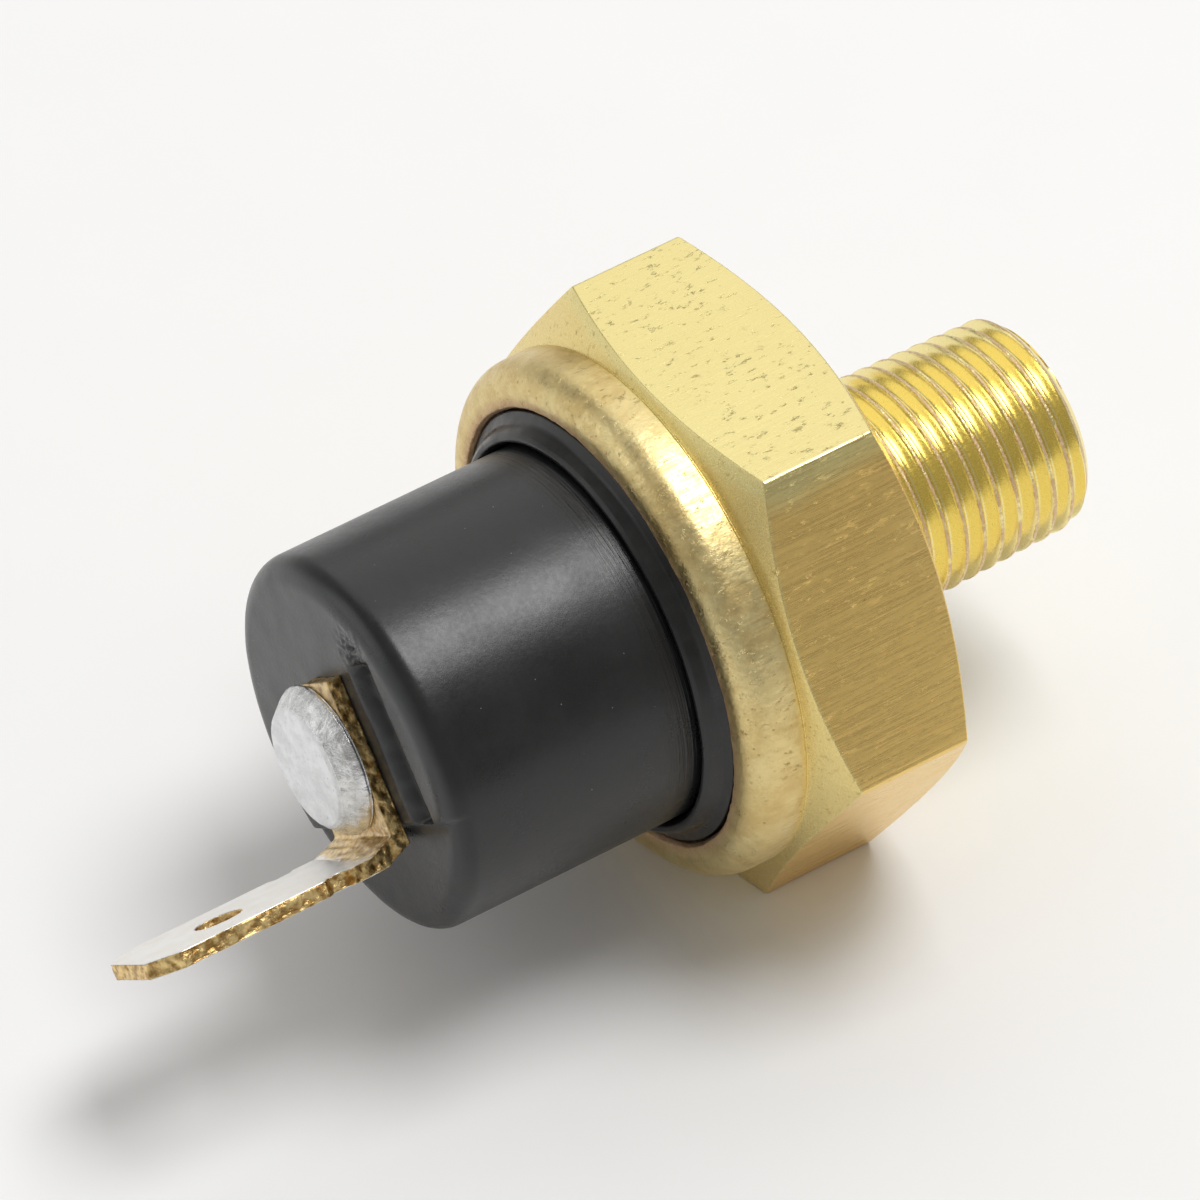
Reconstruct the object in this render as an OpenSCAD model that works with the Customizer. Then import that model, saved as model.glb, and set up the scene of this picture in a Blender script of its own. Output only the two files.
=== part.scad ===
// Single-terminal diaphragm pressure switch.
//
// Frame: the origin is on the axis at the seat face of the hexagon. +X points out along the
// thread, the terminal points towards -X, and +Z is the normal of a hexagon flat.
// All positions along the axis are X values in millimetres.
//
// Sub-parts: the brass body, what it holds (seal, films, contact ring, plunger, moving contact,
// spring), and the moulded cap with its seal, rivet and terminal.

/* [Hexagon and collar] */
// Distance across the hexagon flats
hex_af = 24; // [23.6:0.1:24.6]
// X of the thread-side end of the hexagon's corner edges
corner_front_x = -1.35; // [-1.6:0.05:-1.1]
// X of the cap-side end of the hexagon's corner edges
corner_back_x = -6.55; // [-6.8:0.05:-6.3]
// Radius of the flat seat ring
seat_r = 11.2; // [10.8:0.1:11.5]
// Outer radius of the rolled collar
collar_r = 11.6; // [11.5:0.05:11.8]
// X of the outermost point of the rolled collar
collar_end_x = -10.15; // [-10.4:0.05:-10.1]
// Inner radius of the rolled lip
lip_r = 9.75; // [9.5:0.05:9.9]

/* [Thread and port] */
// X of the thread's tip
thread_tip_x = 11.5; // [11:0.1:12.5]
// Thread pitch, 28 turns to the inch
pitch = 0.907; // [0.9:0.001:0.95]
// Major radius at the gauge plane
gauge_r = 4.864; // [4.8:0.01:5]
// Distance of the gauge plane from the tip
gauge_length = 3.97; // [3.5:0.01:4.5]
// Depth of the thread
thread_depth = 0.58; // [0.45:0.01:0.62]
// Radius of the flat tip inside its bevel
tip_r = 4.4; // [4.2:0.05:4.6]
// Radius of the plain neck between hexagon and thread
neck_r = 4.6; // [4.4:0.05:4.8]
// Radius of the pressure port
port_r = 1.75; // [1.4:0.05:2]
// Radius of the damping hole between port and chamber
orifice_r = 0.6; // [0.4:0.05:0.8]

/* [Cap] */
// Radius of the cap
cap_r = 8.35; // [8.2:0.05:8.4]
// X of the cap's end face
cap_end_x = -22.45; // [-22.6:0.05:-22.2]
// Radius of the rounding round the end face
cap_rounding = 1.1; // [0.8:0.1:1.2]

/* [Terminal and rivet] */
// Turn of the terminal about the axis, from straight down towards -Y
terminal_turn = 42; // [0:1:90]
// Width of the tab and of the foot
tab_w = 6.3; // [6:0.1:6.4]
// Thickness of the terminal's sheet
tab_t = 0.7; // [0.6:0.05:0.8]
// Distance from the axis to the inner face of the tab
tab_offset = 3.92; // [3.8:0.02:4.1]
// X of the tab's tip
tab_tip_x = -34.7; // [-36:0.1:-33.5]
// X of the hole in the tab
tab_hole_x = -30.3; // [-30.8:0.1:-29.8]
// Radius of the hole in the tab
tab_hole_r = 1.0; // [0.8:0.05:1.2]
// Radius of the rivet's outer head
rivet_head_r = 3.4; // [3:0.05:3.4]

/* [Contact set] */
// Stroke that the contact ring leaves for the plunger
stroke = 0.5; // [0.5:0.05:0.55]
// Number of free turns in the spring
spring_turns = 6; // [5:1:7]
// Radius of the spring's wire
wire_r = 0.35; // [0.3:0.01:0.35]

/* [Hidden] */
$fn = 96;
hex_r = hex_af / sqrt(3);                       // centre to corner
front_slope = (0 - corner_front_x) / (hex_r - seat_r);
back_slope = 0.466;                             // 25 degree bevel on the cap side
collar_x = corner_back_x - (hex_r - collar_r) * back_slope;
bore_r = 10.4;                                  // bore that holds the contact set
bore_floor_x = -3.4;
chamber_r = 6.5;                                // pressure chamber behind the films
chamber_x = -2.8;
film_r = 10.3;
guard_t = 0.15;
film_t = 0.25;
film_x = bore_floor_x - guard_t - film_t;       // face of the diaphragm on the contact side
plunger_head_t = 0.9;
web_x = film_x - plunger_head_t - stroke;       // face of the contact ring that stops the plunger
ring_back_x = web_x - 0.6;
land_x = ring_back_x - 0.25;                    // face that the moving contact rests on
facing_t = 0.15;
disc_x = land_x - facing_t;
disc_back_x = disc_x - 0.7;
shim_x = -18.5;
seat_x = shim_x + 0.6;                          // spring-side face of the spring seat
cavity_x = shim_x - 0.3;                        // end of the cap's cavity
spring_r = 2.75;
flange_r = 10.35;
flange_x = -9.25;                               // outer face of the cap's flange
seal_x = flange_x - 0.35;
foot_x = cap_end_x - tab_t;                     // outer face of the terminal's foot
foot_top = 3.3;                                 // foot edge above the rivet
bend_run = 1.3;                                 // length of the sloping bend along the axis
rivet_end_x = foot_x - 1.1;
shank_r = 1.5;

// Turns a shape made along Z so that it lies along X.
module along_x() {
    rotate([0, 90, 0]) children();
}

// Round bar or disc between two X positions.
module bar(x0, x1, r) {
    translate([0, 0, min(x0, x1)])
        cylinder(h = abs(x1 - x0), r = r);
}

// Round tube between two X positions.
module tube(x0, x1, r_out, r_in) {
    difference() {
        bar(x0, x1, r_out);
        bar(min(x0, x1) - 1, max(x0, x1) + 1, r_in);
    }
}

// Local frame of the terminal: x away from the axis to the tab's side, y across the tab,
// z along the switch.
module at_terminal() {
    rotate([0, 0, -terminal_turn]) children();
}

// ---- Thread ------------------------------------------------------------------------------

// The thread is made as level ridges at the real pitch and taper.
thread_start_x = 0.85;
neck_foot_r = 5.2;                              // foot of the neck's bevel on the seat face
ridges = floor((thread_tip_x - thread_start_x - 0.1) / pitch);
flank = 0.3;                                    // axial width of one flank
crest_w = (pitch - 2 * flank) / 2;

function major_r(x) = gauge_r + (thread_tip_x - gauge_length - x) / 32;
function bevel_r(x) = tip_r + (thread_tip_x - x);
function crest_r(x) = min(major_r(x), bevel_r(x));
function ridge_points(x) = [
    [major_r(x) - thread_depth, x],
    [crest_r(x + flank + crest_w), x + flank],
    [crest_r(x + flank + crest_w), x + flank + crest_w],
    [major_r(x) - thread_depth, x + 2 * flank + crest_w]
];

// Half section of the threaded stem.
module thread() {
    rotate_extrude()
        polygon(concat(
            [[0, -0.5], [neck_foot_r, -0.5], [neck_foot_r, 0]],
            [[neck_r, 0.35], [neck_r, thread_start_x - 0.35]],
            [for (i = [0 : ridges - 1]) each ridge_points(thread_start_x + i * pitch)],
            [[tip_r, thread_tip_x], [0, thread_tip_x]]
        ));
}

// ---- Body --------------------------------------------------------------------------------

// Half section that bevels both ends of the hexagon.
module hex_envelope() {
    rotate_extrude()
        polygon([
            [0, 0],
            [seat_r, 0],
            [seat_r + 6, -6 * front_slope],
            [collar_r + 6, collar_x + 6 * back_slope],
            [collar_r, collar_x],
            [0, collar_x]
        ]);
}

// Half section of the collar with its rolled edge.
module collar() {
    round_r = 1.35;
    rotate_extrude()
        union() {
            translate([bore_r - 1, collar_end_x + round_r])
                square([collar_r - bore_r + 1, collar_x - collar_end_x - round_r + 1]);
            translate([collar_r - round_r, collar_end_x + round_r])
                circle(r = round_r);
            translate([lip_r + 0.25, collar_end_x])
                square([collar_r - round_r - lip_r - 0.25, round_r + 0.5]);
            translate([lip_r + 0.25, collar_end_x + 0.25])
                circle(r = 0.25);
            translate([lip_r, collar_end_x + 0.25])
                square([1, round_r]);
        }
}

module body() {
    color([0.78, 0.62, 0.3])
        along_x()
            difference() {
                union() {
                    intersection() {
                        translate([0, 0, -12])
                            rotate([0, 0, 30])
                                cylinder(h = 14, r = hex_r, $fn = 6);
                        hex_envelope();
                    }
                    collar();
                    thread();
                }
                bar(bore_floor_x, seal_x, bore_r);
                bar(chamber_x, bore_floor_x - 1, chamber_r);
                bar(-0.6, thread_tip_x + 1, port_r);
                bar(-0.5, chamber_x - 1, orifice_r);
                tube(-2.5, bore_floor_x - 1, 9.55, 8.05);
                bar(seal_x - 2, seal_x + 1, lip_r);
            }
}

// ---- Seals and films ---------------------------------------------------------------------

module seat_oring() {
    color([0.08, 0.08, 0.08])
        along_x()
            translate([0, 0, bore_floor_x + 0.45])
                rotate_extrude()
                    translate([8.8, 0])
                        circle(r = 0.45);
}

module guard_film() {
    color([0.85, 0.84, 0.8])
        along_x()
            bar(bore_floor_x, bore_floor_x - guard_t, film_r);
}

module diaphragm() {
    color([0.72, 0.45, 0.12])
        along_x()
            bar(bore_floor_x - guard_t, film_x, film_r);
}

// ---- Contact set -------------------------------------------------------------------------

module contact_ring() {
    color([0.7, 0.68, 0.62])
        along_x()
            difference() {
                union() {
                    bar(film_x, ring_back_x, film_r);
                    bar(ring_back_x, land_x, 5.4);
                }
                bar(film_x + 1, web_x, 6.9);
                bar(film_x, land_x - 1, 3);
                bar(ring_back_x, land_x - 1, 4.4);
            }
}

module plunger() {
    color([0.9, 0.88, 0.8])
        along_x()
            union() {
                bar(film_x, film_x - plunger_head_t, 6.3);
                bar(film_x - 0.5, disc_x, 2.4);
            }
}

module contact_disc() {
    color([0.8, 0.6, 0.3])
        along_x()
            union() {
                bar(disc_x, disc_back_x, 5.7);
                bar(disc_x - 0.3, disc_back_x - 1.2, 1.9);
            }
}

module contact_facing() {
    color([0.85, 0.85, 0.87])
        along_x()
            tube(land_x, disc_x, 5.5, 4.2);
}

// Helical wire made as one closed tube: a closed turn at each end and free turns between.
function spring_len() = disc_back_x - seat_x - 2 * wire_r;
function spring_rise(t) =
    let (closed = 2 * wire_r * 1.02)
    t < 1 ? closed * t
    : t > spring_turns + 1 ? spring_len() - closed * (spring_turns + 2 - t)
    : closed + (spring_len() - 2 * closed) * (t - 1) / spring_turns;

module spring() {
    seg = 20;
    side = 8;
    steps = (spring_turns + 2) * seg;
    points = [for (s = [0 : steps]) for (k = [0 : side - 1])
        let (a = 360 * s / seg, b = 360 * k / side + 22.5,
             r = spring_r + wire_r * cos(b))
        [r * cos(a), r * sin(a), seat_x + wire_r + spring_rise(s / seg) + wire_r * sin(b)]];
    faces = concat(
        [for (s = [0 : steps - 1]) for (k = [0 : side - 1])
            [s * side + k, (s + 1) * side + (k + 1) % side, (s + 1) * side + k]],
        [for (s = [0 : steps - 1]) for (k = [0 : side - 1])
            [s * side + k, s * side + (k + 1) % side, (s + 1) * side + (k + 1) % side]],
        [[for (k = [side - 1 : -1 : 0]) k]],
        [[for (k = [0 : side - 1]) steps * side + k]]
    );
    color([0.6, 0.6, 0.62])
        along_x()
            polyhedron(points = points, faces = faces, convexity = 8);
}

module spring_seat() {
    color([0.8, 0.65, 0.35])
        along_x()
            tube(seat_x, shim_x, 4.6, shank_r + 0.1);
}

module shim() {
    color([0.75, 0.75, 0.72])
        along_x()
            tube(shim_x, cavity_x, 4.7, shank_r + 0.2);
}

// ---- Cap, rivet and terminal -------------------------------------------------------------

// Half section of the cap without its openings.
module cap_outline() {
    rotate_extrude()
        union() {
            translate([0, cap_end_x])
                square([cap_r - cap_rounding, ring_back_x - cap_end_x]);
            translate([0, cap_end_x + cap_rounding])
                square([cap_r, ring_back_x - cap_end_x - cap_rounding]);
            translate([cap_r - cap_rounding, cap_end_x + cap_rounding])
                circle(r = cap_rounding);
            translate([0, flange_x])
                square([flange_r, ring_back_x - flange_x]);
        }
}

module cap() {
    color([0.13, 0.13, 0.14])
        along_x()
            difference() {
                cap_outline();
                bar(ring_back_x + 1, -9.0, 6.4);
                bar(-8.5, cavity_x, 5.1);
                bar(cavity_x + 1, cap_end_x - 1, shank_r + 0.05);
                at_terminal() {
                    translate([-3.8, -5.6, cap_end_x - 1])
                        cube([7.2, 1.2, 1.6]);
                    translate([3.4, -10, cap_end_x - 1])
                        cube([10, 20, 1.3]);
                }
            }
}

// Flat ring under the rolled lip, which swells into a soft collar round the cap's root.
module cap_seal() {
    root_r = cap_r + 0.1;
    crest_x = seal_x - 1.3;
    color([0.06, 0.06, 0.06])
        along_x()
            rotate_extrude()
                polygon([
                    [root_r, flange_x],
                    [root_r, crest_x + 0.2],
                    [root_r + 0.12, crest_x],
                    [root_r + 0.3, crest_x],
                    [root_r + 0.5, crest_x + 0.15],
                    [root_r + 0.72, crest_x + 0.65],
                    [lip_r - 0.1, seal_x - 0.4],
                    [lip_r - 0.1, seal_x],
                    [flange_r, seal_x],
                    [flange_r, flange_x]
                ]);
}

module rivet() {
    edge_r = 0.35;
    color([0.7, 0.71, 0.73])
        along_x()
            union() {
                bar(foot_x - 0.4, seat_x + 0.4, shank_r);
                bar(seat_x, seat_x + 0.8, 2.1);
                rotate_extrude()
                    union() {
                        translate([0, rivet_end_x])
                            square([rivet_head_r - edge_r, foot_x - rivet_end_x]);
                        translate([0, rivet_end_x + edge_r])
                            square([rivet_head_r, foot_x - rivet_end_x - edge_r]);
                        translate([rivet_head_r - edge_r, rivet_end_x + edge_r])
                            circle(r = edge_r);
                    }
            }
}

// Side view of the terminal: foot, sloping bend and tab, in the plane of x and z.
module terminal_profile() {
    tab_outer = tab_offset + tab_t;
    polygon([
        [-foot_top, cap_end_x],
        [tab_outer - 0.5, cap_end_x],
        [tab_outer, cap_end_x - bend_run],
        [tab_outer, tab_tip_x],
        [tab_offset, tab_tip_x],
        [tab_offset, foot_x - bend_run + 0.1],
        [tab_offset - 0.42, foot_x],
        [-foot_top, foot_x]
    ]);
}

// Plan of the tab: bevelled tip and a shallow waist next to the bend. The foot is a little
// narrower on the side of the cap's groove.
module tab_plan() {
    half = tab_w / 2;
    polygon([
        [tab_tip_x, -half + 1.25],
        [tab_tip_x + 1.25, -half],
        [-26.6, -half],
        [-26.3, -half + 0.35],
        [-25.7, -half + 0.35],
        [-25.4, -half],
        [-24.4, -half + 0.1],
        [-23.4, -half + 0.25],
        [-20, -half + 0.25],
        [-20, half],
        [-25.4, half],
        [-25.7, half - 0.35],
        [-26.3, half - 0.35],
        [-26.6, half],
        [tab_tip_x + 1.25, half],
        [tab_tip_x, half - 1.25]
    ]);
}

// Corner cut off the foot, above the rivet on the side away from the cap's groove.
module foot_corner() {
    polygon([
        [-foot_top - 1, 0],
        [-foot_top, 0],
        [-foot_top + 1.8, tab_w / 2],
        [-foot_top + 1.8, tab_w / 2 + 1],
        [-foot_top - 1, tab_w / 2 + 1]
    ]);
}

module terminal() {
    color([0.82, 0.68, 0.38])
        along_x()
            at_terminal()
                difference() {
                    intersection() {
                        translate([0, tab_w / 2, 0])
                            rotate([90, 0, 0])
                                linear_extrude(height = tab_w)
                                    terminal_profile();
                        translate([-8, 0, 0])
                            rotate([0, -90, 0])
                                mirror([0, 0, 1])
                                    linear_extrude(height = 16)
                                        tab_plan();
                    }
                    bar(cap_end_x + 1, foot_x - 1, shank_r + 0.05);
                    translate([0, 0, foot_x - 1])
                        linear_extrude(height = 3)
                            foot_corner();
                    translate([0, 0, tab_hole_x])
                        rotate([0, 90, 0])
                            cylinder(h = 10, r = tab_hole_r);
                }
}

body();
seat_oring();
guard_film();
diaphragm();
contact_ring();
plunger();
contact_disc();
contact_facing();
spring();
spring_seat();
shim();
cap();
cap_seal();
rivet();
terminal();
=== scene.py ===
import math

import bmesh
import bpy
import numpy as np
from mathutils import Matrix, Vector, noise


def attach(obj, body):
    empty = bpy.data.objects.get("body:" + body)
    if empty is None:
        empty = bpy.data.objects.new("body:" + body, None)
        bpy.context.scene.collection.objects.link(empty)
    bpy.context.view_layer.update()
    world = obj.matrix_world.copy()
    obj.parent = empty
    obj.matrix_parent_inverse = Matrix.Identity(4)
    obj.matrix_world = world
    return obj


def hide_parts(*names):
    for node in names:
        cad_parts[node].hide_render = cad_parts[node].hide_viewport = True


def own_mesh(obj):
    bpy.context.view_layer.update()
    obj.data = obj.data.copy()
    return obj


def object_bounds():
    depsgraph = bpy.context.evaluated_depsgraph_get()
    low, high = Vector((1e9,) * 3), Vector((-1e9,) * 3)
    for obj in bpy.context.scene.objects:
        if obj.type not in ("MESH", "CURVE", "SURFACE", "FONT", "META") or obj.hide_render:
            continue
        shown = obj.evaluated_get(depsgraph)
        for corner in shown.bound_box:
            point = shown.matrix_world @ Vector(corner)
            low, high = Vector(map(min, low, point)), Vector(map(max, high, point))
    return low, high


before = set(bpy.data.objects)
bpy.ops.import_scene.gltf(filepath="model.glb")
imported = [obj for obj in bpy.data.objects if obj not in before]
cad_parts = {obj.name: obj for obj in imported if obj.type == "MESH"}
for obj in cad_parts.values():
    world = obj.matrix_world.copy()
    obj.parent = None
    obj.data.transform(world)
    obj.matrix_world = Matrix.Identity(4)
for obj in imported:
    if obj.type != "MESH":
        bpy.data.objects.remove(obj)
cad_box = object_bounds()

MM = 0.001
TAU = 2 * math.pi

# ---- Camera ------------------------------------------------------------------------------

AZIMUTH, ELEVATION, ROLL = -32.846, 45.362, -1.2016   # degrees
DISTANCE = 431.915 * MM
TARGET = Vector((-9.7995, 0.2969, 1.2106)) * MM
LENS = 316.736                                         # on a 36 mm sensor


def make_camera():
    a, e = math.radians(AZIMUTH), math.radians(ELEVATION)
    back = Vector((math.sin(a) * math.cos(e), -math.cos(a) * math.cos(e), math.sin(e)))
    right = Vector((math.cos(a), math.sin(a), 0))
    up = back.cross(right)
    turn = Matrix((right, up, back)).transposed()
    turn = turn @ Matrix.Rotation(math.radians(ROLL), 3, "Z")
    cam = bpy.data.objects.new("camera", bpy.data.cameras.new("camera"))
    cam.matrix_world = Matrix.Translation(TARGET + back * DISTANCE) @ turn.to_4x4()
    cam.data.lens = LENS
    cam.data.sensor_width = 36
    cam.data.clip_start, cam.data.clip_end = 0.01, 20
    bpy.context.scene.collection.objects.link(cam)
    bpy.context.scene.camera = cam


make_camera()

# ---- Mesh helpers: points are in millimetres, objects in metres -----------------------------


def make_object(name, points, faces, smooth_deg=32, attributes=()):
    """An object from millimetre points, with doubles merged, and float point attributes."""
    mesh = bpy.data.meshes.new(name)
    mesh.from_pydata([tuple(p) for p in points], [], faces)
    for key, values in attributes:
        layer = mesh.attributes.new(key, "FLOAT", "POINT")
        layer.data.foreach_set("value", np.asarray(values, np.float32))
    bm = bmesh.new()
    bm.from_mesh(mesh)
    bmesh.ops.remove_doubles(bm, verts=bm.verts, dist=0.0004)
    bmesh.ops.dissolve_degenerate(bm, edges=bm.edges, dist=0.0003)
    bmesh.ops.recalc_face_normals(bm, faces=bm.faces)
    for v in bm.verts:
        v.co *= MM
    bm.to_mesh(mesh)
    bm.free()
    mesh.shade_smooth()
    mesh.set_sharp_from_angle(angle=math.radians(smooth_deg))
    obj = bpy.data.objects.new(name, mesh)
    bpy.context.scene.collection.objects.link(obj)
    return obj


def fillet(path, steps=4):
    """Rounds the corners of an open path of (x, r, rounding radius) points."""
    out = []
    for i, (x, r, rad) in enumerate(path):
        if rad == 0 or i in (0, len(path) - 1):
            out.append((x, r))
            continue
        p = np.array((x, r))
        a, b = np.array(path[i - 1][:2]) - p, np.array(path[i + 1][:2]) - p
        la, lb = np.linalg.norm(a), np.linalg.norm(b)
        a, b = a / la, b / lb
        half = math.acos(max(-1, min(1, float(a @ b)))) / 2
        cut = min(rad / max(math.tan(half), 1e-6), la * 0.45, lb * 0.45)
        rad = cut * math.tan(half)
        mid = (a + b) / max(np.linalg.norm(a + b), 1e-9)
        centre = p + mid * (rad / math.sin(half))
        start, end = p + a * cut - centre, p + b * cut - centre
        for k in range(steps + 1):
            w = k / steps
            d = start * (1 - w) + end * w
            d = d / max(np.linalg.norm(d), 1e-9) * rad
            out.append(tuple(centre + d))
    return out


def turned(x, r, phi):
    """A point at angle phi from +Z, right-handed about +X."""
    return (x, -r * math.sin(phi), r * math.cos(phi))


def ring_faces(cols, rows, close_rows):
    """Quads between neighbouring columns of a closed ring."""
    faces = []
    for j in range(cols):
        here, there = j * rows, (j + 1) % cols * rows
        for k in range(rows if close_rows else rows - 1):
            k1 = (k + 1) % rows
            faces.append((here + k, here + k1, there + k1, there + k))
    return faces


def lathe(name, path, cols, smooth_deg=32, move=None, closed=True):
    """A turned shape. The path is (x, r) points, closed on itself or ended on the axis."""
    points = []
    for j in range(cols):
        phi = TAU * j / cols
        for x, r in path:
            if move:
                x, r = move(x, r, phi)
            points.append(turned(x, r, phi))
    return make_object(name, points, ring_faces(cols, len(path), closed), smooth_deg)


# ---- Brass body -----------------------------------------------------------------------------

HEX_HALF = 12.0
HEX_CORNER = 2 * HEX_HALF / math.sqrt(3)
CORNER_ROUND = 0.22
SEAT_R, COLLAR_R, LIP_R = 11.2, 11.6, 9.75
FRONT_CORNER_X, BACK_CORNER_X = -1.35, -6.55           # where the two bevels meet a corner
FRONT_SLOPE = -FRONT_CORNER_X / (HEX_CORNER - SEAT_R)
BACK_SLOPE = 0.466
COLLAR_X = BACK_CORNER_X - (HEX_CORNER - COLLAR_R) * BACK_SLOPE
COLLAR_END = -10.15
ROLL_R = 1.35
LIP_FADE = 0.62                                        # reach of the worn colour round the lip
TIP_X, TIP_R, TIP_SLOPE, PORT_R = 11.5, 4.25, 0.95, 1.75
PITCH, DEPTH, NECK_R = 0.907, 0.58, 4.6
GAUGE_R, GAUGE_LENGTH = 4.864, 3.97                    # radius over the crests near the tip
THREAD_X0, THREAD_FADE = 0.35, 0.75
PLAIN = 0.4                                            # crest value away from the thread

# One pitch of the thread's outline: share of the pitch and share of the depth.
OUTLINE = [(0.0, 0.0), (0.05, 0.02), (0.09, 0.08), (0.17, 0.28), (0.25, 0.52), (0.33, 0.78),
           (0.40, 0.94), (0.44, 0.99), (0.48, 1.0), (0.53, 1.0), (0.57, 0.99), (0.61, 0.94),
           (0.68, 0.78), (0.76, 0.52), (0.84, 0.28), (0.92, 0.08), (0.96, 0.02)]


def hex_radius(phi):
    """Distance from the axis to the rounded hexagon at angle phi."""
    delta = (phi + math.radians(30)) % math.radians(60) - math.radians(30)   # from a flat's normal
    d = math.radians(30) - abs(delta)                                        # from a corner
    centre = (HEX_HALF - CORNER_ROUND) / math.cos(math.radians(30))
    flat = HEX_HALF / math.cos(delta)
    inside = CORNER_ROUND ** 2 - (centre * math.sin(d)) ** 2
    if inside <= 0:
        return flat
    return min(flat, centre * math.cos(d) + math.sqrt(inside))


def column_angles():
    """Angles round the hexagon from 0 up, closer together at the corners."""
    angles = []
    for side in range(6):
        for k in range(44):
            w = k / 44
            s = w - 0.148 * math.sin(TAU * w)          # closer at both ends of a side
            angles.append(math.radians(60 * side - 30 + 60 * s) % TAU)
    return sorted(angles)


def thread_radius(x, share):
    """Radius of the thread at x, for a share of its depth. It fades out towards the hexagon."""
    major = GAUGE_R + (TIP_X - GAUGE_LENGTH - x) / 32
    start = min(1, max(0, (x - THREAD_X0) / THREAD_FADE))
    start = start * start * (3 - 2 * start)
    ragged = 0.018 * noise.noise(Vector((x * 1.7, share * 9, 3.1)))
    r = major - DEPTH * (1 - share) + ragged * share
    r = NECK_R + (r - NECK_R) * start
    return min(r, TIP_R + (TIP_X - x) * TIP_SLOPE)


def make_body():
    """The turned body, as columns of points round the axis.

    Each column is a closed outline, and the thread's rows climb by one pitch in a turn.
    """
    angles = column_angles()
    step = len(OUTLINE)
    count = (int((TIP_X - THREAD_X0) / PITCH) + 3) * step
    points, crest, lip = [], [], []
    for phi in angles:
        column, crests = [], []
        for k in range(count):
            back, i = divmod(k, step)
            share_x, share_h = OUTLINE[i]
            x = TIP_X + PITCH * (1 + phi / TAU - back - share_x)
            if x >= TIP_X:
                column.append((TIP_X, TIP_R))
            elif x <= THREAD_X0:
                column.append((THREAD_X0, NECK_R))
            else:
                column.append((x, thread_radius(x, share_h)))
            crests.append(share_h if THREAD_X0 + 0.3 < x < TIP_X - 0.05 else PLAIN)
        rh = hex_radius(phi)
        x_front = -(rh - SEAT_R) * FRONT_SLOPE
        x_back = COLLAR_X + (rh - COLLAR_R) * BACK_SLOPE
        wob = noise.noise(Vector((math.cos(phi) * 5, math.sin(phi) * 5, 0.7)))
        fine = noise.noise(Vector((math.cos(phi) * 22, math.sin(phi) * 22, 4.7)))
        lip_in = LIP_R + 0.05 * wob + 0.035 * fine
        lip_x = COLLAR_END + 0.03 + 0.02 * fine
        rolled = []
        for t in np.linspace(0, math.pi / 2, 13)[:-1]:
            roll_x, roll_r = ROLL_R * (1 - math.sin(t)), ROLL_R * (1 - math.cos(t))
            rolled.append((COLLAR_END + roll_x, COLLAR_R - roll_r, 0))
        rest = fillet([
            (THREAD_X0, NECK_R, 0), (0, 5.2, 0.15), (0, SEAT_R, 0.06),
            (x_front, rh, 0.10), (x_back, rh, 0.08),
            (COLLAR_X + 0.06, COLLAR_R + 0.06 / BACK_SLOPE, 0.03),
            (COLLAR_X - 0.03, COLLAR_R - 0.07, 0.03), (COLLAR_X - 0.13, COLLAR_R, 0.05),
            *rolled,
            (lip_x, lip_in + 0.12, 0.1), (lip_x + 0.2, lip_in, 0.1),
            # Inside, from the lip on: pocket, seal groove, chamber, damping hole, port.
            (-9.6, lip_in, 0.02), (-9.6, 10.4, 0.02),
            (-3.4, 10.4, 0.02), (-3.4, 9.55, 0.02), (-2.5, 9.55, 0.02), (-2.5, 8.05, 0.02),
            (-3.4, 8.05, 0.02), (-3.4, 6.5, 0.02), (-2.8, 6.5, 0.02), (-2.8, 0.6, 0.02),
            (-0.6, 0.6, 0.02), (-0.3, PORT_R, 0.1), (TIP_X, PORT_R, 0.12), (TIP_X, TIP_R, 0),
        ])
        column += rest
        crest += crests + [PLAIN] * len(rest)
        lip += [0.0] * count
        lip += [max(0, 1 - math.hypot(x - COLLAR_END - 0.1, r - lip_in) / LIP_FADE)
                for x, r in rest]
        points += [turned(x, r, phi) for x, r in column]
    rows, cols = len(points) // len(angles), len(angles)
    faces = []
    for j in range(cols):
        nj = (j + 1) % cols
        for k in range(rows):
            c, d = (k + 1) % rows, k
            if nj == 0 and k < count:              # the last column joins the first, a pitch on
                c, d = max(c - step, 0) if c < count else c, max(k - step, 0)
            faces.append((j * rows + k, j * rows + (k + 1) % rows, nj * rows + c, nj * rows + d))
    return make_object("body_brass", points, faces, 40, [("crest", crest), ("lip", lip)])


# ---- Cap, seal, rivet, terminal and spring --------------------------------------------------

CAP_R, CAP_END, CAP_ROUND = 8.35, -22.45, 1.1
RIVET_HOLE_R = 1.55
TURN = math.radians(42)
ACROSS = Vector((0, math.cos(TURN), -math.sin(TURN)))      # across the tab
OUTWARD = Vector((0, -math.sin(TURN), -math.cos(TURN)))    # from the axis to the tab
BEND_X, BEND_OUT = -23.4, 3.9                              # middle of the terminal's bend
TAB_TIP_X = -34.7
SPRING_LEFT, SPRING_RIGHT = -17.9, -6.9


def soft_step(v, edge, width):
    """Rises smoothly from 0 to 1 across a width centred on the edge."""
    w = min(1, max(0, (v - edge) / width + 0.5))
    return w * w * (3 - 2 * w)


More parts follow.
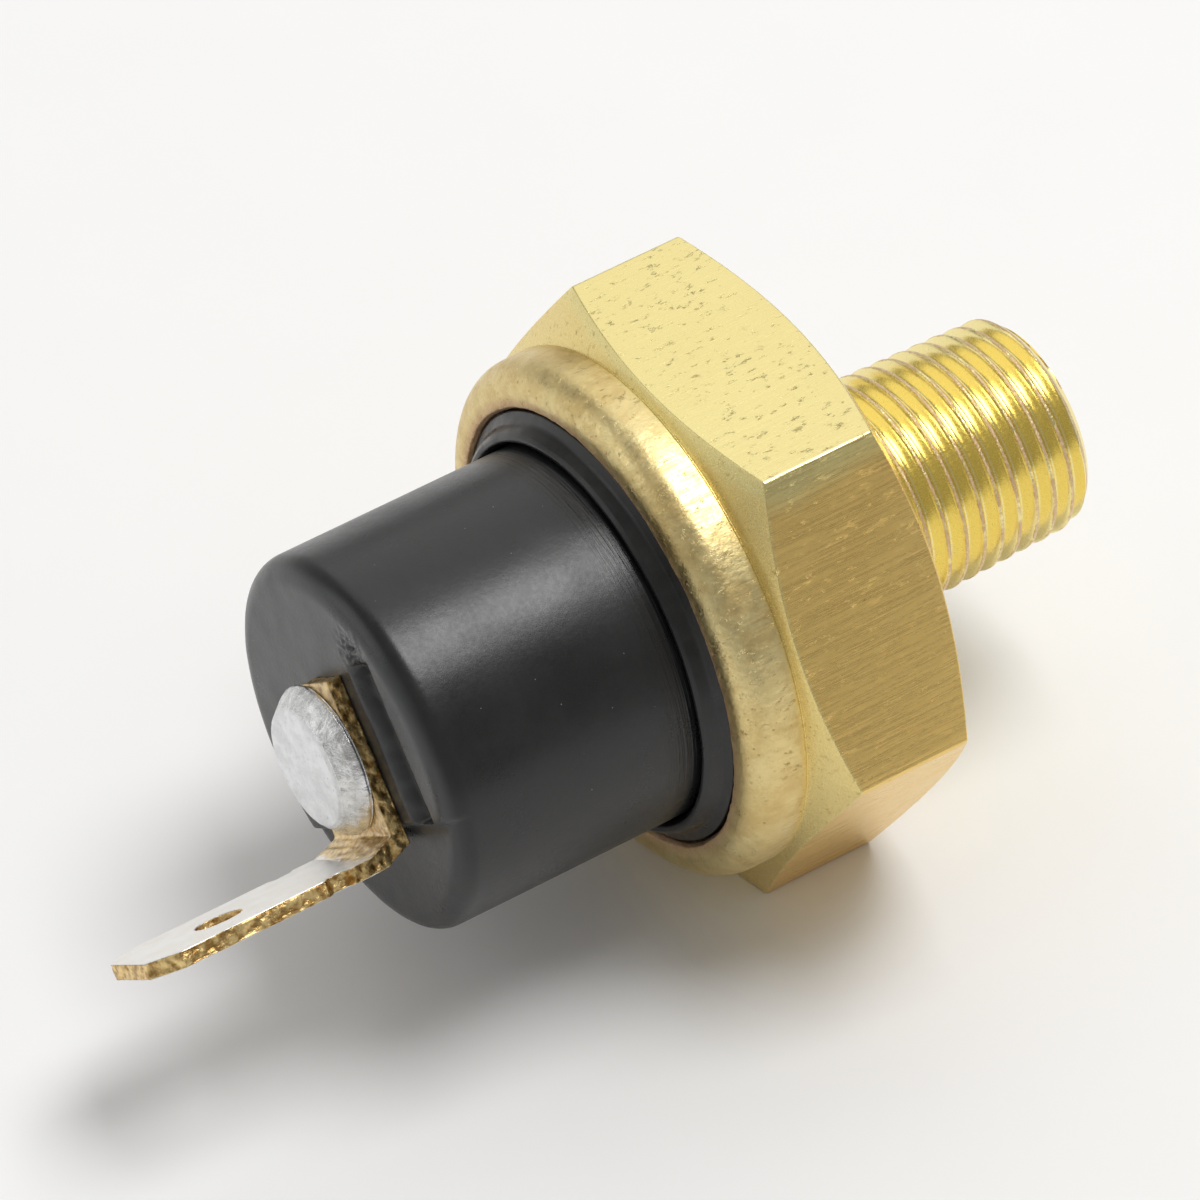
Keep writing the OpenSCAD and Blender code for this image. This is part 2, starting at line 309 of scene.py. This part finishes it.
def end_relief(y, z):
    """How far the cap's end face lies below its highest level, in millimetres.

    It has a groove beside the terminal's foot, a torn spot at the groove's end, and a step
    down on the tab's side.
    """
    out = y * OUTWARD.y + z * OUTWARD.z
    side = y * ACROSS.y + z * ACROSS.z
    ragged = 0.10 * noise.noise(Vector((out * 1.3, side * 1.3, 5.0)))
    groove = (soft_step(out, -3.6, 0.5) * (1 - soft_step(out, 3.4, 0.2))
              * soft_step(side + ragged, -5.6, 0.9) * (1 - soft_step(side + ragged, -4.2, 0.9)))
    near_end = math.exp(-((out + 4.1) ** 2 + (side + 4.9) ** 2) / 0.7)
    torn = near_end * (0.10 + 0.22 * noise.noise(Vector((out * 4.5, side * 4.5, 1.0))))
    return max(0.6 * groove, 0.3 * soft_step(out, 3.4, 0.22)) + torn


def make_cap():
    path = [(CAP_END, r) for r in np.arange(RIVET_HOLE_R, CAP_R - CAP_ROUND, 0.075)]
    path += [(CAP_END + CAP_ROUND * (1 - math.cos(t)), CAP_R - CAP_ROUND * (1 - math.sin(t)))
             for t in np.linspace(0, math.pi / 2, 14)]
    path += [(x, CAP_R) for x in np.linspace(-20.9, -10.2, 20)]
    # Groove at the root, flange, then the hollow inside and the hole for the rivet's shank.
    path += fillet([(-9.9, CAP_R, 0), (-9.55, CAP_R - 0.12, 0.15), (-9.25, CAP_R, 0.1),
                    (-9.25, 10.35, 0.05), (-5.8, 10.35, 0.05), (-5.8, 6.4, 0.05),
                    (-9.0, 6.4, 0.05), (-9.0, 5.1, 0.05), (-18.8, 5.1, 0.05),
                    (-18.8, RIVET_HOLE_R, 0)])

    def move(x, r, phi):
        if x < CAP_END + CAP_ROUND and r > 1.6:
            _, y, z = turned(x, r, phi)
            level = min(1, (CAP_END + CAP_ROUND - x) / CAP_ROUND)
            wave = 0.012 * (1 + noise.noise(Vector((y * 0.8, z * 0.8, 0))))
            x += end_relief(y, z) * level + wave * level
        return x, r

    return lathe("cap_moulding", path, 480, 50, move)


def make_seal():
    """A flat ring under the lip, with a soft collar round the root of the cap."""
    path = fillet([(-9.25, 8.45, 0), (-10.55, 8.45, 0.1), (-10.84, 8.62, 0.15),
                   (-10.88, 8.80, 0.2), (-10.70, 8.99, 0.25), (-10.22, 9.2, 0.4),
                   (-9.98, 9.64, 0.12), (-9.6, 9.66, 0.04), (-9.6, 10.35, 0.05),
                   (-9.25, 10.35, 0)], 6)

    def move(x, r, phi):
        if x < -9.7:
            x += 0.025 * noise.noise(Vector((math.cos(phi) * 4, math.sin(phi) * 4, r)))
        return x, r

    return lathe("cap_seal_ring", path, 288, 32, move)


def make_rivet():
    face_x, under_x = -24.25, -23.15
    path = [(face_x, r) for r in np.linspace(0, 2.55, 26)]
    path += fillet([(face_x, 2.55, 0), (face_x + 0.10, 2.68, 0.08), (face_x + 0.55, 3.16, 0.3),
                    (under_x - 0.22, 3.38, 0.2), (under_x, 3.25, 0.1), (under_x, 1.5, 0.05),
                    (-17.9, 1.5, 0.05), (-17.9, 2.1, 0.1), (-17.1, 2.1, 0.3), (-17.1, 0, 0)], 6)[1:]

    def move(x, r, phi):
        c, s = math.cos(phi), math.sin(phi)
        if x < under_x - 0.05 and r > 0:
            dents = noise.noise(Vector((c * 5.5, s * 5.5, x * 0.5)))
            dents += 0.5 * noise.noise(Vector((c * 13, s * 13, x)))
            side = min(1, max(0, (r - 2.5) / 0.25))
            # The hammered face sits off centre, towards ACROSS and away from the cap's groove.
            r *= 1 + 0.13 * min(1, (3.4 - r) / 0.9) * (-0.669 * c - 0.743 * s)
            r -= 0.07 * side * (0.6 + dents)
            pits = noise.noise(Vector((c * r * 2.5, s * r * 2.5, 2.0)))
            x += 0.02 * (1 - side) * (0.5 + pits) + 0.03 * side * (0.5 + pits)
            x += 0.015 * (r / 2.8) ** 4
        return x, r

    return lathe("rivet_formed", path, 192, 50, move, closed=False)


def make_terminal():
    """The CAD strip with softened edges, uneven sheared sides and a creased bend."""
    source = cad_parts["terminal"].data.copy()
    source.transform(Matrix.Scale(1000, 4))
    obj = bpy.data.objects.new("terminal_strip", source)
    bpy.context.scene.collection.objects.link(obj)
    remesh = obj.modifiers.new("remesh", "REMESH")
    remesh.mode, remesh.voxel_size = "VOXEL", 0.055
    smooth = obj.modifiers.new("smooth", "SMOOTH")
    smooth.factor, smooth.iterations = 0.5, 2
    graph = bpy.context.evaluated_depsgraph_get()
    mesh = bpy.data.meshes.new_from_object(obj.evaluated_get(graph))
    obj.modifiers.clear()
    obj.data = mesh
    mesh.materials.clear()
    edges = []
    moved = []
    for v in mesh.vertices:
        n, co = v.normal, v.co
        out, side = co.dot(OUTWARD), co.dot(ACROSS)
        # Sheared sides face along ACROSS, the tab's tip along X and the foot's end along OUTWARD.
        tab = 1.0 if co.x < -25.0 else 0.0
        foot_end = 1.0 if out < -1.2 else 0.0
        edge = math.sqrt(n.dot(ACROSS) ** 2 + tab * n.x ** 2 + foot_end * n.dot(OUTWARD) ** 2)
        edge = min(1, max(0, (edge - 0.25) / 0.5))
        edges.append(edge)
        facets = noise.noise(Vector((co.x * 1.1, out * 1.1, side * 1.1)))
        facets += 0.8 * noise.noise(co * 3.1)
        bend = math.exp(-((co.x - BEND_X) ** 2 + (out - BEND_OUT) ** 2) / 0.7)
        folds = noise.noise(Vector((co.x * 3.5, out * 3.5, side * 0.8)))
        to = co - n * (edge * 0.06 * (0.8 + facets) + bend * 0.09 * (0.35 + folds))
        to.x = max(to.x, TAB_TIP_X + 0.01)
        moved.append(to)
    for v, co in zip(mesh.vertices, moved):
        v.co = co * MM
    layer = mesh.attributes.new("edge", "FLOAT", "POINT")
    layer.data.foreach_set("value", np.array(edges, np.float32))
    mesh.shade_smooth()
    return obj


def make_spring():
    """A round wire wound with a closed turn at each end."""
    wire, mean, free_turns, sides, seg = 0.35, 2.75, 6, 14, 36
    length = SPRING_RIGHT - SPRING_LEFT - 2 * wire
    closed = 2 * wire * 1.02
    steps = (free_turns + 2) * seg
    points = []
    for s in range(steps + 1):
        t = s / seg
        if t < 1:
            rise = closed * t
        elif t > free_turns + 1:
            rise = length - closed * (free_turns + 2 - t)
        else:
            rise = closed + (length - 2 * closed) * (t - 1) / free_turns
        for k in range(sides):
            b = TAU * k / sides
            x = SPRING_LEFT + wire + rise + wire * math.sin(b)
            points.append(turned(x, mean + wire * math.cos(b), -TAU * t))
    faces = []
    for s in range(steps):
        here, there = s * sides, (s + 1) * sides
        for k in range(sides):
            k1 = (k + 1) % sides
            faces.append((here + k, there + k, there + k1, here + k1))
    faces += [tuple(range(sides)), tuple(steps * sides + k for k in range(sides))]
    return make_object("spring_wire", points, faces, 40)


# ---- Materials ------------------------------------------------------------------------------


class Paint:
    """Small builder of node materials. Lengths in its textures are in millimetres."""

    def __init__(self, name, **sockets):
        self.m = bpy.data.materials.new(name)
        self.m.use_nodes = True
        self.t = self.m.node_tree
        self.shader = self.t.nodes["Principled BSDF"]
        for key, value in sockets.items():
            self.shader.inputs[key.replace("_", " ")].default_value = value
        self.coord = self.t.nodes.new("ShaderNodeTexCoord").outputs["Object"]

    def link(self, source, node, key):
        if isinstance(source, (int, float)):
            node.inputs[key].default_value = source
        elif isinstance(source, tuple):
            node.inputs[key].default_value = (*source, 1) if len(source) == 3 else source
        else:
            self.t.links.new(source, node.inputs[key])

    def space(self, sx=1, sy=1, sz=1):
        """Object coordinates in millimetres. A factor under 1 stretches the pattern on its axis."""
        n = self.t.nodes.new("ShaderNodeMapping")
        n.inputs["Scale"].default_value = (sx * 1000, sy * 1000, sz * 1000)
        self.link(self.coord, n, "Vector")
        return n.outputs["Vector"]

    def noise(self, vec, scale=1.0, detail=4.0, rough=0.55):
        n = self.t.nodes.new("ShaderNodeTexNoise")
        self.link(vec, n, "Vector")
        n.inputs["Scale"].default_value = scale
        n.inputs["Detail"].default_value = detail
        n.inputs["Roughness"].default_value = rough
        return n.outputs["Fac"]

    def cells(self, vec, scale=1.0):
        n = self.t.nodes.new("ShaderNodeTexVoronoi")
        self.link(vec, n, "Vector")
        n.inputs["Scale"].default_value = scale
        return n.outputs["Distance"]

    def span(self, fac, lo, hi, out_lo=0.0, out_hi=1.0, smooth=True):
        n = self.t.nodes.new("ShaderNodeMapRange")
        n.interpolation_type = "SMOOTHSTEP" if smooth else "LINEAR"
        self.link(fac, n, "Value")
        for key, v in (("From Min", lo), ("From Max", hi), ("To Min", out_lo), ("To Max", out_hi)):
            n.inputs[key].default_value = v
        return n.outputs["Result"]

    def mix(self, fac, a, b):
        n = self.t.nodes.new("ShaderNodeMix")
        n.data_type = "RGBA"
        self.link(fac, n, 0)
        self.link(a, n, 6)
        self.link(b, n, 7)
        return n.outputs[2]

    def math(self, kind, a, b=0.0):
        n = self.t.nodes.new("ShaderNodeMath")
        n.operation = kind
        self.link(a, n, 0)
        self.link(b, n, 1)
        return n.outputs[0]

    def attribute(self, name):
        n = self.t.nodes.new("ShaderNodeAttribute")
        n.attribute_name = name
        return n.outputs["Fac"]

    def axis(self, key):
        """One object coordinate in millimetres."""
        n = self.t.nodes.new("ShaderNodeSeparateXYZ")
        self.link(self.coord, n, "Vector")
        return self.math("MULTIPLY", n.outputs[key], 1000.0)

    def radius(self):
        """Distance from the X axis in millimetres."""
        y, z = self.axis("Y"), self.axis("Z")
        return self.math("SQRT", self.math("ADD", self.math("MULTIPLY", y, y),
                                           self.math("MULTIPLY", z, z)))

    def bump(self, height, distance, strength=1.0, under=None):
        n = self.t.nodes.new("ShaderNodeBump")
        n.inputs["Strength"].default_value = strength
        n.inputs["Distance"].default_value = distance * MM
        self.link(height, n, "Height")
        if under is not None:
            self.link(under, n, "Normal")
        return n.outputs["Normal"]

    def done(self, color=None, rough=None, normal=None):
        for value, key in ((color, "Base Color"), (rough, "Roughness"), (normal, "Normal")):
            if value is not None:
                self.link(value, self.shader, key)
        return self.m


def brass_body_material():
    p = Paint("brass_body", Metallic=1.0)
    x, r = p.axis("X"), p.radius()
    is_thread = p.span(x, -0.3, 0.1)
    is_collar = p.span(x, -8.0, -7.5, 1.0, 0.0)
    not_thread = p.math("SUBTRACT", 1.0, is_thread)
    flats = p.math("MULTIPLY", not_thread, p.math("SUBTRACT", 1.0, is_collar))
    blotch = p.noise(p.space(), 0.22, 3, 0.5)
    color = p.mix(p.span(blotch, 0.3, 0.7), (0.74, 0.58, 0.26), (0.82, 0.69, 0.35))
    stain = p.span(p.noise(p.space(), 0.8, 5, 0.7), 0.42, 0.62, 0.0, 0.5)
    color = p.mix(p.math("MULTIPLY", is_collar, stain), color, (0.62, 0.44, 0.17))
    color = p.mix(is_thread, color, (0.95, 0.82, 0.38))
    # The upper flat is painted pale as painted light from above, and the other flats brown as
    # painted shade.
    uneven = p.span(blotch, 0.3, 0.7, -0.3, 0.3, False)
    painted_top_light_and_bevel = p.span(p.math("ADD", p.axis("Z"), uneven), 10.6, 11.7)
    cone = p.math("ADD", p.math("MULTIPLY", x, 1 / BACK_SLOPE), COLLAR_R - COLLAR_X / BACK_SLOPE)
    bevel = p.span(p.math("SUBTRACT", r, cone), -0.30, -0.12)
    # The back bevel is given the pale tone as well.
    painted_top_light_and_bevel = p.math("MAXIMUM", painted_top_light_and_bevel, p.math("MULTIPLY", bevel, 0.65))
    # Painted light and shade on the flats: pale where lit from above, brown on the sides.
    painted_flat_light_and_shade = p.mix(painted_top_light_and_bevel, (0.90, 0.62, 0.20), (0.83, 0.72, 0.32))
    color = p.mix(p.math("MULTIPLY", flats, 0.85), color, painted_flat_light_and_shade)
    # Pits and dark specks.
    pits = p.noise(p.space(0.45, 1, 1), 3.6, 6, 0.76)
    patches = p.noise(p.space(), 0.16, 2, 0.5)
    pit = p.math("MULTIPLY", p.span(pits, 0.58, 0.68), not_thread)
    pit = p.math("MULTIPLY", pit, p.span(patches, 0.38, 0.58, 0.25, 1.0))
    color = p.mix(p.math("MULTIPLY", pit, 0.38), color, (0.24, 0.15, 0.05))
    dots = p.math("MULTIPLY", p.span(p.cells(p.space(0.6, 1, 1), 1.5), 0.10, 0.04), not_thread)
    dots = p.math("MULTIPLY", dots, p.span(p.noise(p.space(), 0.7, 3, 0.6), 0.50, 0.62))
    color = p.mix(p.math("MULTIPLY", dots, 0.6), color, (0.20, 0.12, 0.05))
    # Worn pinkish crests and lip edge.
    grain = p.noise(p.space(), 7.0, 4, 0.7)
    ragged = p.noise(p.space(), 1.3, 3, 0.6)
    height = p.math("ADD", p.attribute("crest"), p.span(ragged, 0.3, 0.7, -0.06, 0.05, False))
    crest = p.math("MULTIPLY", p.span(height, 0.93, 1.0), is_thread)
    crest = p.math("MULTIPLY", crest, p.span(grain, 0.30, 0.6, 0.4, 1.0))
    color = p.mix(p.math("MULTIPLY", crest, 0.8), color, (0.66, 0.42, 0.30))
    lip = p.math("MULTIPLY", p.attribute("lip"), p.span(grain, 0.3, 0.65, 0.45, 1.0))
    color = p.mix(lip, color, (0.62, 0.38, 0.27))
    # Axial brush lines on the flats, a duller and blotchy collar.
    brush = p.noise(p.space(0.025, 1, 1), 11.0, 4, 0.75)
    wide = p.noise(p.space(0.10, 1, 1), 1.6, 3, 0.6)
    rough = p.math("ADD", p.span(brush, 0.3, 0.72, 0.18, 0.42), p.math("MULTIPLY", pit, 0.25))
    dull = p.math("MULTIPLY", is_collar, p.span(ragged, 0.3, 0.7, 0.04, 0.18))
    rough = p.math("ADD", rough, dull)
    rough = p.math("ADD", rough, p.math("MULTIPLY", crest, 0.25))
    rough = p.math("ADD", rough, p.math("MULTIPLY", lip, 0.3))
    rough = p.math("MULTIPLY", rough, p.span(is_thread, 0, 1, 1.0, 0.75))
    n1 = p.bump(p.math("MULTIPLY", brush, flats), 0.016, 0.6)
    n2 = p.bump(p.math("MULTIPLY", wide, flats), 0.012, 0.5, n1)
    n3 = p.bump(p.math("MULTIPLY", pit, -1.0), 0.02, 0.7, n2)
    n4 = p.bump(p.noise(p.space(), 3.5, 4, 0.6), 0.006, 0.6, n3)
    dents = p.math("MULTIPLY", p.noise(p.space(), 1.7, 4, 0.6), is_collar)
    n5 = p.bump(dents, 0.07, 0.6, n4)
    n6 = p.bump(p.math("MULTIPLY", grain, p.math("ADD", crest, lip)), 0.05, 0.8, n5)
    return p.done(color, rough, n6)


def cap_material():
    p = Paint("cap_phenolic", Metallic=0.0)
    p.shader.inputs["Specular IOR Level"].default_value = 0.5
    x = p.axis("X")
    cloud = p.noise(p.space(), 0.35, 4, 0.6)
    color = p.mix(p.span(cloud, 0.3, 0.7), (0.009, 0.0095, 0.010), (0.014, 0.0145, 0.015))
    # Painted reflection: the end face is painted lighter and bluish, standing in for the pale floor
    # it reflects.
    end = p.span(x, -21.9, -22.3)
    color = p.mix(p.math("MULTIPLY", end, 0.5), color, (0.070, 0.073, 0.078))
    dust = p.span(p.cells(p.space(), 1.5), 0.05, 0.03)
    speck = p.math("MULTIPLY", dust, p.span(p.noise(p.space(), 0.9, 2), 0.52, 0.6))
    color = p.mix(p.math("MULTIPLY", speck, 0.6), color, (0.35, 0.36, 0.36))
    fine = p.noise(p.space(), 5.0, 5, 0.65)
    rings = p.noise(p.space(6, 0.15, 0.15), 1.0, 3, 0.7)
    near_root = p.span(x, -13.0, -11.6)
    rough = p.math("ADD", p.span(cloud, 0.3, 0.7, 0.25, 0.33), p.span(fine, 0.3, 0.7, 0.0, 0.06))
    n1 = p.bump(fine, 0.012, 0.5)
    n2 = p.bump(p.math("MULTIPLY", rings, near_root), 0.04, 0.8, n1)
    n3 = p.bump(p.noise(p.space(), 0.9, 4, 0.6), 0.03, 0.35, n2)
    return p.done(color, rough, n3)


def seal_material(name, dark, light):
    """Black rubber."""
    p = Paint(name, Metallic=0.0)
    cloud = p.noise(p.space(), 1.2, 4, 0.6)
    fine = p.noise(p.space(), 9.0, 3, 0.6)
    color = p.mix(p.span(cloud, 0.3, 0.7), dark, light)
    return p.done(color, p.span(cloud, 0.3, 0.7, 0.26, 0.42), p.bump(fine, 0.012, 0.4))


def rivet_material():
    p = Paint("rivet_metal", Metallic=1.0)
    x, r = p.axis("X"), p.radius()
    face = p.math("MULTIPLY", p.span(x, -24.1, -24.2), p.span(r, 3.0, 2.9))
    cloud = p.noise(p.space(), 1.1, 5, 0.65)
    pits = p.noise(p.space(), 5.5, 6, 0.75)
    color = p.mix(p.span(cloud, 0.35, 0.65), (0.80, 0.81, 0.82), (0.92, 0.93, 0.94))
    color = p.mix(p.math("MULTIPLY", p.span(pits, 0.57, 0.70), 0.5), color, (0.34, 0.35, 0.36))
    side = p.math("SUBTRACT", 1.0, face)
    dent = p.noise(p.space(0.35, 1, 1), 2.6, 4, 0.6)
    # Painted shade: the side of the head is painted darker, in blotches.
    painted_side_shade = p.math("MULTIPLY", side, p.span(dent, 0.35, 0.7, 0.10, 0.6))
    color = p.mix(painted_side_shade, color, (0.42, 0.42, 0.41))
    rough = p.math("ADD", p.span(face, 0, 1, 0.20, 0.50), p.span(pits, 0.4, 0.7, 0.0, 0.12))
    n1 = p.bump(pits, 0.03, 0.7)
    n2 = p.bump(p.math("MULTIPLY", dent, side), 0.10, 0.7, n1)
    return p.done(color, rough, n2)


def terminal_material():
    p = Paint("terminal_plated", Metallic=1.0)
    edge = p.attribute("edge")
    cloud = p.noise(p.space(), 0.8, 4, 0.6)
    lines = p.noise(p.space(0.12, 1, 1), 5.0, 3, 0.6)
    face = p.mix(p.span(cloud, 0.35, 0.7), (0.95, 0.94, 0.91), (0.90, 0.87, 0.82))
    face = p.mix(p.span(lines, 0.67, 0.74, 0, 0.4), face, (0.40, 0.33, 0.26))
    grain = p.noise(p.space(), 2.6, 4, 0.6)
    mottle = p.mix(p.span(grain, 0.35, 0.62), (0.40, 0.23, 0.07), (0.88, 0.66, 0.30))
    x = p.axis("X")
    # Painted shade: the bend and the foot are painted in the gold edge colour; the sheared edges
    # are real bare brass.
    bend_painted_shade = p.span(p.math("ADD", x, p.span(cloud, 0.3, 0.7, -0.4, 0.4, False)), -24.6, -24.1)
    bare_edge_and_bend_shade = p.math("MAXIMUM", p.span(edge, 0.2, 0.6), p.math("MULTIPLY", bend_painted_shade, 0.85))
    color = p.mix(bare_edge_and_bend_shade, face, mottle)
    rough = p.math("ADD", p.span(bare_edge_and_bend_shade, 0, 1, 0.32, 0.30), p.span(grain, 0.3, 0.7, 0.0, 0.10))
    n1 = p.bump(p.math("MULTIPLY", grain, bare_edge_and_bend_shade), 0.10, 0.8)
    n2 = p.bump(lines, 0.008, 0.5, n1)
    n3 = p.bump(cloud, 0.03, 0.4, n2)
    return p.done(color, rough, n3)


def inner_metal(name, dark, light, rough_lo=0.2, rough_hi=0.4):
    """Turned or stamped metal of an inner part."""
    p = Paint(name, Metallic=1.0)
    cloud = p.noise(p.space(), 0.6, 4, 0.6)
    fine = p.noise(p.space(), 8.0, 4, 0.65)
    color = p.mix(p.span(cloud, 0.3, 0.7), dark, light)
    return p.done(color, p.span(fine, 0.3, 0.7, rough_lo, rough_hi), p.bump(fine, 0.01, 0.5))


def inner_plastic(name, dark, light, rough_lo, rough_hi):
    """Moulded part or film."""
    p = Paint(name, Metallic=0.0)
    cloud = p.noise(p.space(), 0.5, 4, 0.6)
    fine = p.noise(p.space(), 6.0, 4, 0.6)
    color = p.mix(p.span(cloud, 0.3, 0.7), dark, light)
    return p.done(color, p.span(cloud, 0.3, 0.7, rough_lo, rough_hi), p.bump(fine, 0.01, 0.4))


# ---- Stage ----------------------------------------------------------------------------------


def panel(name, radiance, size, direction, distance):
    """A square soft light of a given brightness, in a given direction from the object."""
    aim = Vector((-11.6, 0, 0)) * MM
    place = aim + Vector(direction).normalized() * distance
    data = bpy.data.lights.new(name, "AREA")
    data.energy, data.size = radiance * math.pi * size * size, size
    lamp = bpy.data.objects.new(name, data)
    lamp.location = place
    lamp.rotation_mode = "QUATERNION"
    lamp.rotation_quaternion = (aim - place).to_track_quat("-Z", "Y")
    bpy.context.scene.collection.objects.link(lamp)


def make_stage():
    floor_z = cad_box[0].z - 0.02 * MM                     # just under the lowest flat
    half = 1.5                                             # half of the floor's side, in metres
    corners = [(x * half, y * half, floor_z) for x, y in ((-1, -1), (1, -1), (1, 1), (-1, 1))]
    mesh = bpy.data.meshes.new("floor")
    mesh.from_pydata(corners, [], [(0, 1, 2, 3)])
    floor = bpy.data.objects.new("floor", mesh)
    bpy.context.scene.collection.objects.link(floor)
    p = Paint("floor_paper", Roughness=0.8)
    tone = p.noise(p.space(), 0.15, 3, 0.5)
    floor.data.materials.append(p.done(p.mix(tone, (0.93, 0.93, 0.93), (0.95, 0.95, 0.95))))
    world = bpy.data.worlds.new("studio")
    bpy.context.scene.world = world
    world.use_nodes = True
    background = world.node_tree.nodes["Background"].inputs
    background["Color"].default_value = (1.0, 0.975, 0.94, 1)
    background["Strength"].default_value = 0.335
    bpy.context.scene.view_settings.view_transform = "Standard"
    panel("key", 8.0, 0.36, (0.30, -0.10, 0.92), 0.75)
    panel("back", 0.75, 0.95, (0.38, 0.62, 0.62), 0.95)
    panel("left", 0.8, 0.6, (-0.75, 0.50, 0.36), 0.9)


# ---- The object -------------------------------------------------------------------------------


def stand_for(obj, material, node, body):
    """Puts a visual piece in place of a CAD node, on the body it moves with."""
    obj.data.materials.append(material)
    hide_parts(node)
    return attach(obj, body)


stand_for(make_body(), brass_body_material(), "body", "switch")
stand_for(make_cap(), cap_material(), "cap", "switch")
seal_black = seal_material("cap_seal_rubber", (0.008, 0.008, 0.008), (0.013, 0.013, 0.013))
stand_for(make_seal(), seal_black, "cap_seal", "switch")
stand_for(make_rivet(), rivet_material(), "rivet", "switch")
stand_for(make_terminal(), terminal_material(), "terminal", "switch")

spring_steel = inner_metal("spring_steel", (0.38, 0.38, 0.39), (0.52, 0.52, 0.54))
spring = stand_for(make_spring(), spring_steel, "spring", "switch")
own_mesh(spring)

# Inner pieces keep their CAD shape.
INNER = {
    "seat_oring": seal_material("seal_rubber", (0.012, 0.012, 0.012), (0.022, 0.022, 0.022)),
    "guard_film": inner_plastic("guard_film", (0.76, 0.75, 0.70), (0.84, 0.83, 0.79), 0.35, 0.5),
    "diaphragm": inner_plastic("diaphragm_film", (0.52, 0.27, 0.05), (0.62, 0.35, 0.08),
                               0.15, 0.28),
    "contact_ring": inner_metal("ring_steel", (0.56, 0.55, 0.52), (0.68, 0.67, 0.64)),
    "plunger": inner_plastic("plunger_plastic", (0.78, 0.75, 0.66), (0.85, 0.82, 0.74), 0.35, 0.5),
    "contact_disc": inner_metal("contact_brass", (0.74, 0.53, 0.22), (0.82, 0.62, 0.30)),
    "contact_facing": inner_metal("contact_silver", (0.80, 0.80, 0.80), (0.88, 0.88, 0.88),
                                  0.1, 0.25),
    "spring_seat": inner_metal("seat_brass", (0.74, 0.55, 0.26), (0.82, 0.64, 0.34)),
    "shim": inner_metal("shim_steel", (0.62, 0.62, 0.60), (0.72, 0.72, 0.70)),
}
for node, material in INNER.items():
    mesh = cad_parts[node].data
    mesh.materials.clear()
    mesh.materials.append(material)

make_stage()
